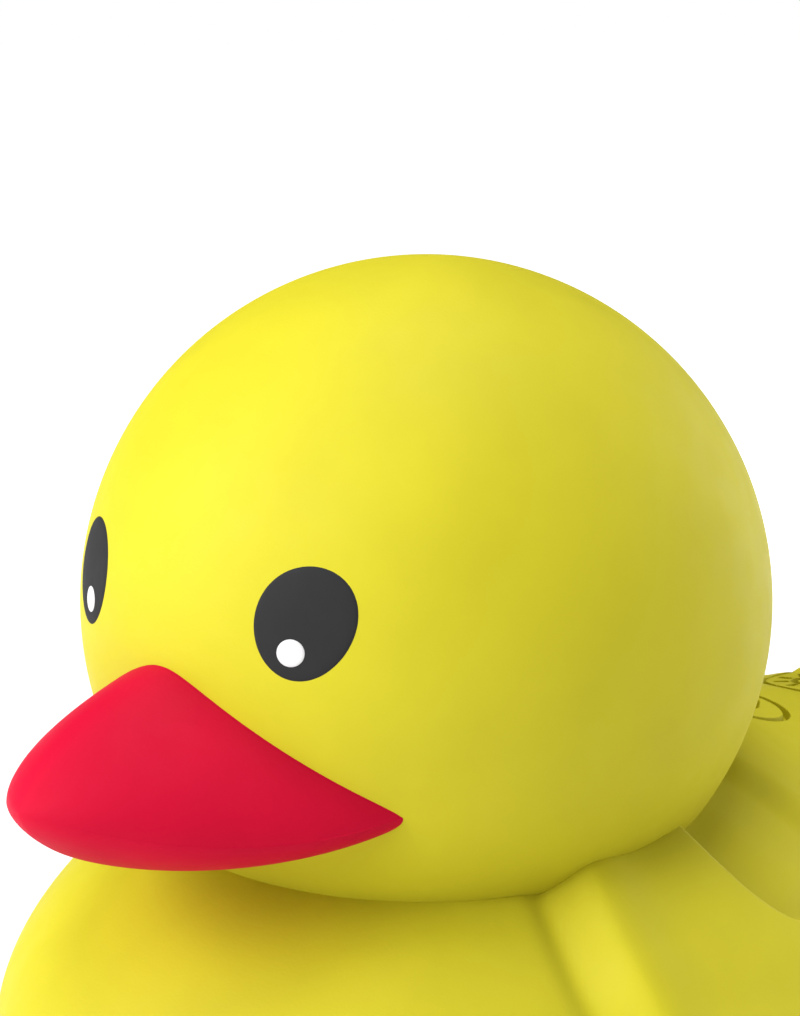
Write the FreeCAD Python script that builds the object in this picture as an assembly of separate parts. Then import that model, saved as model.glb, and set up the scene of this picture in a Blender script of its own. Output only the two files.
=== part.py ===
import FreeCAD, Part
import math
import os
from FreeCAD import Vector

# Duck-shaped floating chlorine dispenser, millimetres.
# Origin: centre of the flat underside of the tablet canister. +Z up, the duck faces -Y, +X is its left.

# Head, beak and eyes
HEAD_R = 60.0
HEAD_Y = -25.0
HEAD_Z = 171.0
SHELL_WALL = 2.4
BEAK_ROOT_Y = -0.55          # beak stations and sizes, in head radii from the head's centre
BEAK_TIP_Y = -1.45
BEAK_HALF_WIDTH = 0.66
BEAK_PLAN_POWERS = (1.38, 0.625)     # how the half-width falls from the root to the tip
BEAK_TOP_RISE = 0.37
BEAK_TOP_POWERS = (5.9, 0.94)
BEAK_BOTTOM_DROP = 0.176
BEAK_BOTTOM_POWERS = (3.3, 0.5)
BEAK_RIM_Z = -0.28           # height of the widest line, and how far it sags midway
BEAK_RIM_SAG = 0.087
BEAK_CREST = (1.15, 1.40)    # powers of the upper section across, at the root and at the tip
BEAK_FLANK = (0.74, 0.50)
BEAK_BELLY = (1.47, 0.525)   # powers of the lower section
BEAK_STATIONS = (0.0, 0.15, 0.3, 0.45, 0.6, 0.72, 0.82, 0.9, 0.955, 0.985, 0.997)
BEAK_SECTION_POINTS = 48
BEAK_PEG_X = 17.0
BEAK_PEG_Z = -18.0
BEAK_PEG_R = 2.8
BEAK_PEG_LENGTH, BEAK_PEG_FIT = 18.0, 0.05
PUSH_NUT_R, PUSH_NUT_THICKNESS = 6.0, 1.2
PUSH_NUT_DEPTH = 7.5         # distance from the head's inner wall to a push nut, along the peg
EYE_X = 0.421                # eye and highlight places, in head radii from the head's centre
EYE_Z = 0.165
EYE_HALF_WIDTH = 7.4
EYE_HALF_HEIGHT = 8.6
EYE_TILT = -6.2
EYE_PROUD = 0.5
EYE_RECESS = 1.2
HIGHLIGHT_RECESS = 0.2
HIGHLIGHT_PROUD = 0.65
HIGHLIGHT_X = 0.40
HIGHLIGHT_Z = 0.092
HIGHLIGHT_R = 2.1

# Body shells
PARTING_Z = 97.0
HALF_WIDTH = 81.0
FRONT_LENGTH = 104.6
REAR_LENGTH = 102.0
BACK_RISE = 49.4
DECK_RISE, DECK_SLOPE, DECK_CROWN = 50.2, 0.105, 0.003   # levelled back: height, fall with y and with x squared
DECK_DISH_Y, DECK_DISH = 58.0, 0.004         # where the back turns up again towards the tail
DECK_REAR_Y, DECK_REAR_FALL = 75.5, 0.09
CAVITY_REAR_ROOM = 4.0       # how much sooner the hollow falls than the back, per millimetre of wall
DECK_FRONT, DECK_SIDES, DECK_BLEND = (12.0, 34.0), (34.0, 62.0), 1.5
DECK_LEVELS = (10.0, 36.0)   # levels over which the levelled back takes over from the body, degrees
HULL_BOTTOM_Z = 52.0
HULL_FULL_DEPTH = 64.0
STERN_NARROWING = 0.12
TAIL_LIFT = 23.0
TAIL_REACH = 20.0
TAIL_SPREAD = 12.0           # half-width of the tail as a plan angle, degrees
TAIL_FULL, TAIL_GONE = 18.0, 42.0          # levels where the tail is full and where it has gone, degrees
WING_HEIGHT = 4.0
WING_FRONT, WING_SHOULDER, WING_REAR = -35.0, -9.0, 58.0    # plan angles along the wing, degrees
WING_TOP = 33.0                            # level of the wing's upper edge, degrees above the rim
WING_BOTTOM = 8.0                          # level of the wing's lower edge
RIM_FLANGE = 8.0
RIM_ROOT = 1.2               # depth inside the wall at which the rim's flange starts
RIM_HALF_THICKNESS = 2.5
SEAL_INSET = 2.2
SEAL_WIDTH = 1.8
SEAL_HALF_HEIGHT = 0.8
SHELL_SCREW_ANGLES = (-62.0, -118.0, -10.0, 190.0, 52.0, 128.0)
SHELL_SCREW_INSET = 8.0
SCREW_R, SCREW_CLEAR_R, COUNTERBORE_R = 1.5, 1.8, 3.8
SCREW_HEAD_R, SCREW_HEAD_HEIGHT = 3.2, 2.2
RECESS_LENGTH, RECESS_WIDTH, RECESS_DEPTH = 3.6, 0.9, 1.1
SCREW_TIP_GAP = 0.5          # depth left below a screw's tip in its pilot hole
BOSS_R = 5.0
POST_HEIGHT = 15.0           # screw posts of the upper shell, above the parting level
PILOT_DEPTH = 11.0
SCREW_HEAD_DEPTH = 8.0       # seat of the shell screws' heads, below the parting level

# Neck joint
NECK_HOLE_R = 24.6
NECK_SPIGOT_R = 23.0
NECK_BORE_R = 13.0
NECK_BOSS_R = 34.0
NECK_BOTTOM_Z = 108.0
NECK_SEAL_Z = 111.5
NECK_SEAL_MAJOR, NECK_SEAL_MINOR = 23.8, 1.2
CLAMP_THICKNESS = 3.4
NECK_JOIN = 6.0              # how far the neck's boss and spigot reach into the head above them
NECK_PILOT_DEPTH = 11.0
NECK_SPIGOT_GAP = 0.2
NECK_SCREW_CIRCLE_R = 18.0

# Socket in the hull and its fasteners
SOCKET_IN_R = 47.2
SOCKET_OUT_R = 49.8
SOCKET_ROOF_Z = 90.0
SOCKET_FLANGE_R = 65.0
SOCKET_FLANGE_BOTTOM_Z = 47.6
SOCKET_FLANGE_TOP_Z = 50.8
HULL_HOLE_R = 50.4
SOCKET_SCREW_CIRCLE_R = 58.0
SOCKET_SCREW_COUNT = 6
SOCKET_BOSS_TOP_Z = 66.0
SOCKET_PILOT_TOP_Z, SOCKET_SCREW_TIP_Z = 63.0, 62.0

# Tablet canister, its base cap, vent ring and grate
CANISTER_IN_R = 41.5
CANISTER_OUT_R = 44.0
CANISTER_TOP_Z = 86.0
CANISTER_FLOOR_Z = 2.6
CANISTER_FLOOR = 2.6
SEAT_R = 52.0
SEAT_BOTTOM_Z, SEAT_TOP_Z = 42.0, 45.2
SHOULDER_R = 47.6
SHOULDER_BOTTOM_Z, SHOULDER_TOP_Z = 29.0, 31.5
GRIP_RIB_COUNT = 36
GRIP_RIB_R = 1.3
GRIP_RIB_OUT = 0.6           # distance of the ribs' axes outside the wall
BASE_R = 48.6
BASE_TOP_Z = 8.0
BASE_FLOOR = 2.4
BASE_FIT = 0.1
BASE_CHAMFER = 1.0
SCALLOP_COUNT, SCALLOP_R, SCALLOP_OUT, SCALLOP_BOTTOM_Z = 12, 2.2, 1.2, 1.5
RING_IN_R = 44.35
RING_OUT_R = 47.4
RING_BOTTOM_Z, RING_TOP_Z = 8.5, 28.5
WINDOW_COUNT = 6
WINDOW_WIDTH = 14.0
WINDOW_BOTTOM_Z, WINDOW_TOP_Z = 12.5, 24.5
WINDOW_CORNER_R = 2.5
RING_RIB_R, RING_RIB_OFFSETS = 0.9, (-6, -2, 2, 6)
WINDOW_TURN = 30.0           # turn of the vent ring from shut to fully open, degrees
GRATE_R = 41.1
GRATE_BOTTOM_Z, GRATE_TOP_Z = 8.6, 11.0
GRATE_HOLE_R = 3.0
GRATE_FOOT_R, GRATE_FOOT_CIRCLE_R, GRATE_FOOT_COUNT = 2.5, 36.0, 6
GRATE_HOLE_ROWS = ((10.5, 6), (20.5, 12), (31.0, 18))
GASKET_IN_R, GASKET_OUT_R = 44.6, 50.6
GASKET_BOTTOM_Z, GASKET_TOP_Z = 45.4, 47.4

# Three-start thread between the canister and the socket
THREAD_STARTS = 3
THREAD_LEAD = 30.0
THREAD_AXIAL = 3.0
THREAD_GAP = 0.3
RIDGE_SPAN = (-5.0, 55.0)
LUG_SPAN = (0.0, 50.0)
RIDGE_TOP_Z = 62.0           # top face of the socket's ridge at the start angle
RIDGE_TIP_R = 44.6
LUG_TIP_R = 46.6
THREAD_ROOT = 0.4            # depth that a ridge is rooted in its wall

# Tether eye on the hull
TETHER_Y, TETHER_Z = 100.0, 62.0
TETHER_HOLE_R = 3.0
TETHER_EYE_R = 7.5
TETHER_WIDTH = 6.0
TETHER_WEB_Y = 99.0          # rear edge of the web that carries the eye
TETHER_WEB_TOP_Z = 84.0

RING_POINTS = 90
OVERLAP = 0.5                # how far joined shapes of one part run into each other
TOP_RING_LEVEL = 84.0        # level of the flat cap that the head hides, degrees
TOP_RINGS = 24
HULL_RINGS = 10
HEAD = Vector(0, HEAD_Y, HEAD_Z)
UP = Vector(0, 0, 1)
ALONG_X = Vector(1, 0, 0)
ALONG_Y = Vector(0, 1, 0)


def cylinder(radius, z_low, z_high, x=0.0, y=0.0):
    return Part.makeCylinder(radius, z_high - z_low, Vector(x, y, z_low), UP)


def tube(inner, outer, z_low, z_high, x=0.0, y=0.0):
    return cylinder(outer, z_low, z_high, x, y).cut(cylinder(inner, z_low - 1, z_high + 1, x, y))


def fuse(shapes):
    joined = shapes[0]
    for shape in shapes[1:]:
        joined = joined.fuse(shape)
    return joined


def polar(radius, degrees):
    angle = math.radians(degrees)
    return radius * math.cos(angle), radius * math.sin(angle)


def ease(low, high, value):
    share = min(1.0, max(0.0, (value - low) / (high - low)))
    return share * share * (3 - 2 * share)


def closed_curve(points):
    curve = Part.BSplineCurve()
    steps = [index / len(points) for index in range(len(points) + 1)]
    curve.interpolate(Points=points, PeriodicFlag=True, Parameters=steps)
    return Part.Wire(curve.toShape())


def loft(wires):
    return Part.makeLoft(wires, True, False)


# ---------- body shells ----------

def outline(turn, inset=0.0):
    """Point of the body's widest level, at a plan angle in radians, moved in by inset."""
    length = FRONT_LENGTH if math.sin(turn) < 0 else REAR_LENGTH
    rear = max(0.0, math.sin(turn))
    narrowing = 1 - STERN_NARROWING * rear ** 3
    return ((HALF_WIDTH - inset) * math.cos(turn) * narrowing, (length - inset) * math.sin(turn))


def wing_lift(turn, level):
    """Height of the wing pad above the body, from the plan angle and level in degrees."""
    plan = math.degrees(turn)
    side = plan - 360 if plan > 270 else min(plan, 180 - plan)
    if 180 < plan <= 270:
        side = 180 - plan
    lower_edge = WING_BOTTOM + (WING_TOP - WING_BOTTOM) * ease(20, WING_REAR + 4, side)
    front = ease(WING_FRONT - 4, WING_FRONT + 4, side)
    above = ease(WING_SHOULDER - 5, WING_SHOULDER + 5, side) * ease(WING_TOP - 3, WING_TOP + 6, level)
    below = ease(lower_edge - 6, lower_edge + 6, level)
    rear = 1 - ease(WING_REAR - 10, WING_REAR + 4, side)
    return WING_HEIGHT * front * (1 - above) * below * rear


def tail_share(turn, level):
    """How far the tail's upturn is reached, from 0 to 1."""
    aside = (math.degrees(turn) - 90) / TAIL_SPREAD
    rise = math.degrees(level)
    return math.exp(-aside ** 2) * ease(0, TAIL_FULL, rise) * (1 - ease(TAIL_FULL, TAIL_GONE, rise))


def deck_fill(x, y, z, level, inset):
    """Height that the levelled back adds to a point of the body."""
    dish = DECK_DISH * max(0.0, y - DECK_DISH_Y) ** 2
    fall = DECK_REAR_FALL * max(0.0, y + CAVITY_REAR_ROOM * inset - DECK_REAR_Y) ** 2
    short = DECK_RISE - inset - DECK_SLOPE * y - DECK_CROWN * x ** 2 + dish - fall - z
    blended = (short + math.hypot(short, DECK_BLEND)) / 2
    share = ease(*DECK_FRONT, y) * (1 - ease(*DECK_SIDES, abs(x))) * ease(*DECK_LEVELS, math.degrees(level))
    return blended * share


def upper_point(turn, level, inset):
    """Point of the upper shell or of its hollow, which leaves the tail solid; angles in radians."""
    x_rim, y_rim = outline(turn, inset)
    tail = 0.0 if inset else tail_share(turn, level)
    swell = 1 + wing_lift(turn, math.degrees(level)) / math.hypot(x_rim, y_rim)
    x = x_rim * math.cos(level) * swell
    y = y_rim * math.cos(level) * swell + TAIL_REACH * tail
    z = (BACK_RISE - inset) * math.sin(level) + TAIL_LIFT * tail
    return Vector(x, y, PARTING_Z + z + deck_fill(x, y, z, level, inset))


def lower_point(turn, level, inset):
    x_rim, y_rim = outline(turn, inset)
    flat = math.sqrt(math.cos(level))
    z = PARTING_Z - (HULL_FULL_DEPTH - inset) * math.sin(level)
    return Vector(x_rim * flat, y_rim * flat, z)


def body_solid(point, top_level, rings, inset=0.0):
    """Closed loft through level rings, from the rim to a small flat cap."""
    wires = []
    for ring in range(rings + 1):
        level = math.radians(top_level * ring / rings)
        turns = [2 * math.pi * step / RING_POINTS for step in range(RING_POINTS)]
        wires.append(closed_curve([point(turn, level, inset) for turn in turns]))
    return loft(wires)


def rim_band(inset_out, inset_in, z_low, z_high):
    """Flat band that follows the rim, between two insets."""
    height = Vector(0, 0, z_high - z_low)
    return outline_face(inset_out, z_low).extrude(height).cut(outline_face(inset_in, z_low).extrude(height))


def shell_screw_places():
    return [outline(math.radians(angle), SHELL_SCREW_INSET) for angle in SHELL_SCREW_ANGLES]


def outline_face(inset, z):
    turns = [2 * math.pi * step / RING_POINTS for step in range(RING_POINTS)]
    return Part.Face(closed_curve([Vector(*outline(turn, inset), z) for turn in turns]))


def slab(z_low, z_high):
    side = 3 * FRONT_LENGTH
    return Part.makeBox(side, side, z_high - z_low, Vector(-side / 2, -side / 2, z_low))


def upper_cavity():
    """Hollow of the upper shell: inside the wall, less the rim flange, posts, head seat and neck boss."""
    inner = body_solid(upper_point, TOP_RING_LEVEL, TOP_RINGS, SHELL_WALL)
    flange_top = PARTING_Z + RIM_HALF_THICKNESS
    mouth = outline_face(RIM_FLANGE, PARTING_Z - 1).extrude(Vector(0, 0, BACK_RISE))
    low = inner.common(slab(PARTING_Z - 1, flange_top)).common(mouth)
    cavity = inner.common(slab(flange_top, HEAD_Z)).fuse(low)
    for x, y in shell_screw_places():
        cavity = cavity.cut(cylinder(BOSS_R, PARTING_Z - 1, PARTING_Z + POST_HEIGHT, x, y))
    cavity = cavity.cut(Part.makeSphere(HEAD_R + SHELL_WALL, HEAD))
    return cavity.cut(cylinder(NECK_BOSS_R, NECK_BOTTOM_Z, HEAD_Z - HEAD_R + NECK_JOIN, 0, HEAD_Y))


def make_body_top_shell():
    shell = body_solid(upper_point, TOP_RING_LEVEL, TOP_RINGS).cut(upper_cavity())
    shell = shell.cut(Part.makeSphere(HEAD_R, HEAD))
    shell = shell.cut(cylinder(NECK_HOLE_R, NECK_BOTTOM_Z - 1, HEAD_Z, 0, HEAD_Y))
    for x, y in shell_screw_places():
        shell = shell.cut(cylinder(SCREW_R, PARTING_Z - 1, PARTING_Z + PILOT_DEPTH, x, y))
    return shell.cut(seal_groove())


def seal_groove():
    return rim_band(SEAL_INSET, SEAL_INSET + SEAL_WIDTH, PARTING_Z - SEAL_HALF_HEIGHT,
                    PARTING_Z + SEAL_HALF_HEIGHT)


def hull_level(inset):
    """Level of the flat bottom ring of the hull, or of its cavity, in degrees."""
    return math.degrees(math.asin((PARTING_Z - HULL_BOTTOM_Z - inset) / (HULL_FULL_DEPTH - inset)))


def hull_cavity():
    """Hollow of the hull: inside the wall, less the rim flange, screw posts and screw bosses."""
    inner = body_solid(lower_point, hull_level(SHELL_WALL), HULL_RINGS, SHELL_WALL)
    flange_bottom = PARTING_Z - RIM_HALF_THICKNESS
    mouth = outline_face(RIM_FLANGE, HULL_BOTTOM_Z).extrude(Vector(0, 0, PARTING_Z - HULL_BOTTOM_Z + 1))
    high = inner.common(slab(flange_bottom, PARTING_Z + 1)).common(mouth)
    cavity = inner.common(slab(HULL_BOTTOM_Z - 1, flange_bottom)).fuse(high)
    for x, y in shell_screw_places():
        cavity = cavity.cut(cylinder(BOSS_R, HULL_BOTTOM_Z - 1, PARTING_Z + 1, x, y))
    for x, y in socket_screw_places():
        cavity = cavity.cut(cylinder(BOSS_R, HULL_BOTTOM_Z - 1, SOCKET_BOSS_TOP_Z, x, y))
    return cavity


def make_body_hull():
    outer = body_solid(lower_point, hull_level(0), HULL_RINGS)
    hull = fuse([outer.cut(hull_cavity()), tether_web(), tether_disc(TETHER_EYE_R)])
    hull = hull.cut(tether_disc(TETHER_HOLE_R))
    hull = hull.cut(cylinder(HULL_HOLE_R, HULL_BOTTOM_Z - 1, HULL_BOTTOM_Z + SHELL_WALL + 1))
    for x, y in shell_screw_places():
        hull = hull.cut(cylinder(COUNTERBORE_R, HULL_BOTTOM_Z - 1, PARTING_Z - SCREW_HEAD_DEPTH, x, y))
        hull = hull.cut(cylinder(SCREW_CLEAR_R, HULL_BOTTOM_Z, PARTING_Z + 1, x, y))
    for x, y in socket_screw_places():
        hull = hull.cut(cylinder(SCREW_R, HULL_BOTTOM_Z - 1, SOCKET_PILOT_TOP_Z, x, y))
    return hull.cut(seal_groove())


def tether_disc(radius):
    """Disc across the tether eye under the stern: its rounded end, or the bore for a cord or a clip."""
    return Part.makeCylinder(radius, TETHER_WIDTH, Vector(-TETHER_WIDTH / 2, TETHER_Y, TETHER_Z), ALONG_X)


def tether_web():
    front = TETHER_Y - TETHER_EYE_R
    corner = Vector(-TETHER_WIDTH / 2, front, TETHER_Z)
    return Part.makeBox(TETHER_WIDTH, TETHER_WEB_Y - front, TETHER_WEB_TOP_Z - TETHER_Z, corner)


def make_hull_seal():
    return seal_groove()


def screw(x, y, seat_z, tip_z):
    """Pan-head screw pointing up, its head below seat_z, with a cross recess."""
    head_z = seat_z - SCREW_HEAD_HEIGHT
    body = fuse([cylinder(SCREW_HEAD_R, head_z, seat_z, x, y), cylinder(SCREW_R, seat_z - OVERLAP, tip_z, x, y)])
    for wide, deep in ((RECESS_LENGTH, RECESS_WIDTH), (RECESS_WIDTH, RECESS_LENGTH)):
        corner = Vector(x - wide / 2, y - deep / 2, head_z - OVERLAP)
        body = body.cut(Part.makeBox(wide, deep, RECESS_DEPTH + OVERLAP, corner))
    return body


def make_shell_screws():
    seat, tip = PARTING_Z - SCREW_HEAD_DEPTH, PARTING_Z + PILOT_DEPTH - SCREW_TIP_GAP
    return Part.makeCompound([screw(x, y, seat, tip) for x, y in shell_screw_places()])


# ---------- head ----------

def make_head_shell():
    ball = Part.makeSphere(HEAD_R, HEAD)
    cavity = Part.makeSphere(HEAD_R - SHELL_WALL, HEAD)
    spigot_top = HEAD_Z - HEAD_R + 2 * NECK_JOIN
    spigot = cylinder(NECK_SPIGOT_R, NECK_BOTTOM_Z + NECK_SPIGOT_GAP, spigot_top, 0, HEAD_Y)
    shell = fuse([ball.cut(cavity), spigot])
    shell = shell.cut(cylinder(NECK_BORE_R, NECK_BOTTOM_Z - 1, spigot_top + 2, 0, HEAD_Y))
    for x, y in neck_screw_places():
        shell = shell.cut(cylinder(SCREW_R, NECK_BOTTOM_Z - 1, NECK_BOTTOM_Z + NECK_PILOT_DEPTH, x, y))
    for side in (-1, 1):
        shell = shell.cut(eye_prism(side).cut(Part.makeSphere(HEAD_R - EYE_RECESS, HEAD)))
        start = Vector(side * BEAK_PEG_X, HEAD_Y - HEAD_R, HEAD_Z + BEAK_PEG_Z)
        shell = shell.cut(Part.makeCylinder(BEAK_PEG_R + BEAK_PEG_FIT, BEAK_PEG_LENGTH + 2, start, ALONG_Y))
    return shell


def front_prism(x, z, half_width, half_height, tilt=0.0):
    """Elliptical prism along Y, through the front half of the head."""
    ellipse = Part.Ellipse(Vector(0, 0, 0), max(half_width, half_height), min(half_width, half_height)) \
        if half_width != half_height else Part.Circle(Vector(0, 0, 0), UP, half_width)
    face = Part.Face(Part.Wire(ellipse.toShape()))
    prism = face.extrude(Vector(0, 0, HEAD_R + 5))
    upright = 90.0 if half_height > half_width else 0.0
    prism.rotate(Vector(0, 0, 0), UP, upright + tilt)
    prism.rotate(Vector(0, 0, 0), ALONG_X, 90)
    prism.translate(HEAD + Vector(x, 0, z))
    return prism


def eye_prism(side):
    return front_prism(side * EYE_X * HEAD_R, EYE_Z * HEAD_R, EYE_HALF_WIDTH, EYE_HALF_HEIGHT, side * EYE_TILT)


def highlight_prism(side):
    return front_prism(side * HIGHLIGHT_X * HEAD_R, HIGHLIGHT_Z * HEAD_R, HIGHLIGHT_R, HIGHLIGHT_R)


def head_layer(prism, r_low, r_high):
    return prism.common(Part.makeSphere(r_high, HEAD)).cut(Part.makeSphere(r_low, HEAD))


def make_eye(side):
    eye = head_layer(eye_prism(side), HEAD_R - EYE_RECESS, HEAD_R + EYE_PROUD)
    return eye.cut(head_layer(highlight_prism(side), HEAD_R - HIGHLIGHT_RECESS, HEAD_R + 2 * EYE_PROUD))


def make_highlight(side):
    return head_layer(highlight_prism(side), HEAD_R - HIGHLIGHT_RECESS, HEAD_R + HIGHLIGHT_PROUD)


def falling(share, powers):
    """Falls from 1 at the root to 0 at the tip."""
    return (1 - share ** powers[0]) ** powers[1]


def beak_section(share):
    """Closed section of the beak at a share of its length, round below and peaked above."""
    y = BEAK_ROOT_Y + (BEAK_TIP_Y - BEAK_ROOT_Y) * share
    half_width = BEAK_HALF_WIDTH * falling(share, BEAK_PLAN_POWERS)
    rise = BEAK_TOP_RISE * falling(share, BEAK_TOP_POWERS)
    drop = BEAK_BOTTOM_DROP * falling(share, BEAK_BOTTOM_POWERS)
    rim = BEAK_RIM_Z - BEAK_RIM_SAG * 4 * share * (1 - share)
    crest, flank = (low + (high - low) * share for low, high in (BEAK_CREST, BEAK_FLANK))
    points = []
    for step in range(BEAK_SECTION_POINTS):
        angle = 2 * math.pi * step / BEAK_SECTION_POINTS
        across = math.cos(angle)
        upper = rise * falling(abs(across), (crest, flank))
        lower = drop * falling(abs(across), BEAK_BELLY)
        z = rim + (upper if math.sin(angle) >= 0 else -lower)
        points.append(HEAD + Vector(half_width * across, y, z) * HEAD_R)
    return closed_curve(points)


def make_beak():
    bill = loft([beak_section(share) for share in BEAK_STATIONS])
    bill = bill.cut(Part.makeSphere(HEAD_R, HEAD))
    pegs = []
    for side in (-1, 1):
        start = Vector(side * BEAK_PEG_X, HEAD_Y - HEAD_R - 2, HEAD_Z + BEAK_PEG_Z)
        pegs.append(Part.makeCylinder(BEAK_PEG_R, BEAK_PEG_LENGTH, start, ALONG_Y))
    return fuse([bill] + pegs)


def make_beak_push_nuts():
    nuts = []
    for side in (-1, 1):
        x, z = side * BEAK_PEG_X, HEAD_Z + BEAK_PEG_Z
        near_x, near_z = BEAK_PEG_X - PUSH_NUT_R, BEAK_PEG_Z + PUSH_NUT_R
        reach = math.sqrt((HEAD_R - SHELL_WALL) ** 2 - near_x ** 2 - near_z ** 2)
        start = Vector(x, HEAD_Y - reach + PUSH_NUT_DEPTH, z)
        disc = Part.makeCylinder(PUSH_NUT_R, PUSH_NUT_THICKNESS, start, ALONG_Y)
        nuts.append(disc.cut(Part.makeCylinder(BEAK_PEG_R, 2 * PUSH_NUT_THICKNESS, start - ALONG_Y, ALONG_Y)))
    return Part.makeCompound(nuts)


# ---------- neck ----------

def neck_screw_places():
    places = [polar(NECK_SCREW_CIRCLE_R, 45 + 90 * index) for index in range(4)]
    return [(x, y + HEAD_Y) for x, y in places]


def make_neck_seal():
    return Part.makeTorus(NECK_SEAL_MAJOR, NECK_SEAL_MINOR, Vector(0, HEAD_Y, NECK_SEAL_Z), UP)


def make_neck_clamp_ring():
    ring = tube(NECK_BORE_R, NECK_BOSS_R, NECK_BOTTOM_Z - CLAMP_THICKNESS, NECK_BOTTOM_Z, 0, HEAD_Y)
    for x, y in neck_screw_places():
        ring = ring.cut(cylinder(SCREW_CLEAR_R, 0, HEAD_Z, x, y))
    return ring


def make_neck_screws():
    seat, tip = NECK_BOTTOM_Z - CLAMP_THICKNESS, NECK_BOTTOM_Z + NECK_PILOT_DEPTH - SCREW_TIP_GAP
    return Part.makeCompound([screw(x, y, seat, tip) for x, y in neck_screw_places()])


# ---------- socket ----------

def socket_screw_places():
    return [polar(SOCKET_SCREW_CIRCLE_R, 360 * index / SOCKET_SCREW_COUNT + 30)
            for index in range(SOCKET_SCREW_COUNT)]


def helical_ridge(r_low, r_high, z_bottom, span):
    """Rectangular ridge along the thread's helix, z_bottom being its underside at angle 0."""
    sections = []
    steps = 8
    for step in range(steps + 1):
        angle = span[0] + (span[1] - span[0]) * step / steps
        z_low = z_bottom + THREAD_LEAD * angle / 360
        corners = [(r_low, z_low), (r_high, z_low), (r_high, z_low + THREAD_AXIAL), (r_low, z_low + THREAD_AXIAL)]
        points = [Vector(*polar(radius, angle), z) for radius, z in corners]
        sections.append(Part.makePolygon(points + points[:1]))
    return loft(sections)


def thread_ridges(r_low, r_high, z_bottom, span):
    ridges = []
    for start in range(THREAD_STARTS):
        ridge = helical_ridge(r_low, r_high, z_bottom, span)
        ridge.rotate(Vector(0, 0, 0), UP, 360 * start / THREAD_STARTS)
        ridges.append(ridge)
    return ridges


def make_canister_socket():
    cup = cylinder(SOCKET_OUT_R, SOCKET_FLANGE_BOTTOM_Z, SOCKET_ROOF_Z + SHELL_WALL)
    cup = cup.cut(cylinder(SOCKET_IN_R, SOCKET_FLANGE_BOTTOM_Z - 1, SOCKET_ROOF_Z))
    flange = tube(SOCKET_OUT_R - 1, SOCKET_FLANGE_R, SOCKET_FLANGE_BOTTOM_Z, SOCKET_FLANGE_TOP_Z)
    ridges = thread_ridges(RIDGE_TIP_R, SOCKET_IN_R + THREAD_ROOT, RIDGE_TOP_Z - THREAD_AXIAL, RIDGE_SPAN)
    socket = fuse([cup, flange] + ridges)
    for x, y in socket_screw_places():
        socket = socket.cut(cylinder(SCREW_CLEAR_R, 0, HULL_BOTTOM_Z, x, y))
    return socket


def make_socket_seal():
    seal = tube(HULL_HOLE_R, SOCKET_FLANGE_R - 1, SOCKET_FLANGE_TOP_Z, HULL_BOTTOM_Z)
    for x, y in socket_screw_places():
        seal = seal.cut(cylinder(SCREW_CLEAR_R, 0, HULL_BOTTOM_Z + 1, x, y))
    return seal


def make_socket_screws():
    places = socket_screw_places()
    return Part.makeCompound([screw(x, y, SOCKET_FLANGE_BOTTOM_Z, SOCKET_SCREW_TIP_Z) for x, y in places])


# ---------- canister ----------

def windows(r_low, r_high, first_angle):
    """Cutters for the vent windows, as rounded upright slots."""
    cutters = []
    half = WINDOW_WIDTH / 2
    for index in range(WINDOW_COUNT):
        block = Part.makeBox(r_high - r_low, WINDOW_WIDTH, WINDOW_TOP_Z - WINDOW_BOTTOM_Z,
                             Vector(r_low, -half, WINDOW_BOTTOM_Z))
        edges = [edge for edge in block.Edges if abs(edge.tangentAt(edge.FirstParameter).x) > 0.99]
        block = block.makeFillet(WINDOW_CORNER_R, edges)
        block.rotate(Vector(0, 0, 0), UP, first_angle + 360 * index / WINDOW_COUNT)
        cutters.append(block)
    return cutters


def grip_ribs(radius, z_low, z_high, count):
    return [cylinder(GRIP_RIB_R, z_low, z_high, *polar(radius, 360 * index / count)) for index in range(count)]


def make_tablet_canister():
    wall = tube(CANISTER_IN_R, CANISTER_OUT_R, CANISTER_FLOOR_Z, CANISTER_TOP_Z)
    floor = cylinder(CANISTER_OUT_R, CANISTER_FLOOR_Z, CANISTER_FLOOR_Z + CANISTER_FLOOR)
    shoulder = tube(CANISTER_IN_R, SHOULDER_R, SHOULDER_BOTTOM_Z, SHOULDER_TOP_Z)
    seat = tube(CANISTER_IN_R, SEAT_R, SEAT_BOTTOM_Z, SEAT_TOP_Z)
    ribs_low, ribs_high = SHOULDER_TOP_Z - OVERLAP, SEAT_BOTTOM_Z + OVERLAP
    ribs = grip_ribs(CANISTER_OUT_R + GRIP_RIB_OUT, ribs_low, ribs_high, GRIP_RIB_COUNT)
    lugs = thread_ridges(CANISTER_OUT_R - THREAD_ROOT, LUG_TIP_R, RIDGE_TOP_Z + THREAD_GAP, LUG_SPAN)
    canister = fuse([wall, floor, shoulder, seat] + ribs + lugs)
    for cutter in windows(CANISTER_IN_R - 4, CANISTER_OUT_R + 2, 0):
        canister = canister.cut(cutter)
    return canister


def make_canister_base():
    cup = cylinder(BASE_R, 0, BASE_TOP_Z).cut(cylinder(CANISTER_OUT_R + BASE_FIT, BASE_FLOOR, BASE_TOP_Z + 1))
    edges = [edge for edge in cup.Edges if abs(edge.BoundBox.ZMax) < 0.01]
    cup = cup.makeChamfer(BASE_CHAMFER, edges)
    for index in range(SCALLOP_COUNT):
        x, y = polar(BASE_R + SCALLOP_OUT, 360 * index / SCALLOP_COUNT)
        cup = cup.cut(cylinder(SCALLOP_R, SCALLOP_BOTTOM_Z, BASE_TOP_Z + 1, x, y))
    return cup


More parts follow.
